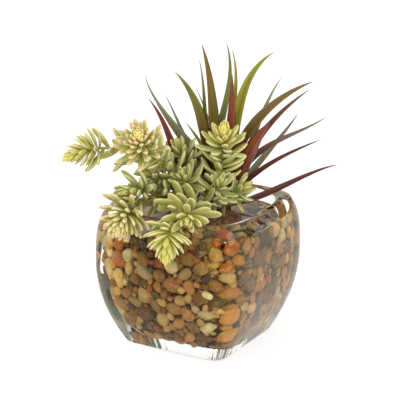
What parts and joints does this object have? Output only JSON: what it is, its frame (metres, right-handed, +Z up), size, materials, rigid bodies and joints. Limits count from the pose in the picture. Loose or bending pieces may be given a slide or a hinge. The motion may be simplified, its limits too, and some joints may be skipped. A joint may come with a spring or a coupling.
{
  "type": "glass plant terrarium",
  "caption": "Square bubble-sided glass bowl of pebbles set in resin, planted with pale sedum stems that hang over the rim and a spiky rosette of long green and red leaves.",
  "frame": {"origin": "centre of the bowl's flat base, on the surface it stands on", "axes": "+Z up; the bowl's four faces look along +X, -X, +Y and -Y, and the sedum hangs over the -Y face"},
  "size_m": [0.1744, 0.1827, 0.25],
  "materials": {
    "glass": "clear, polished, thick, with grey-green edges",
    "pebbles": "mixed tan, cream, orange and brown river pebbles, wet-looking in clear resin",
    "soil": "rough brown roots and soil",
    "sedum_leaf": "pale powdery green, with frosted edges and pink-buff tips",
    "spiky_leaf": "satin, green above and dark red below"
  },
  "bodies": {
    "root": {"glass_bowl": "glass", "pebble_bed": "pebbles", "planting_plug": "soil", "spiky_rosette": "spiky_leaf", "sedum_far_left": "sedum_leaf", "sedum_high_left": "sedum_leaf", "sedum_upright": "sedum_leaf", "sedum_open_rosette": "sedum_leaf", "sedum_left_over_rim": "sedum_leaf", "sedum_front_over_rim": "sedum_leaf", "sedum_middle": "sedum_leaf", "sedum_left_middle": "sedum_leaf", "sedum_right_middle": "sedum_leaf", "sedum_low_left": "sedum_leaf", "sedum_back": "sedum_leaf", "sedum_centre": "sedum_leaf", "sedum_right": "sedum_leaf"}
  },
  "joints": []
}
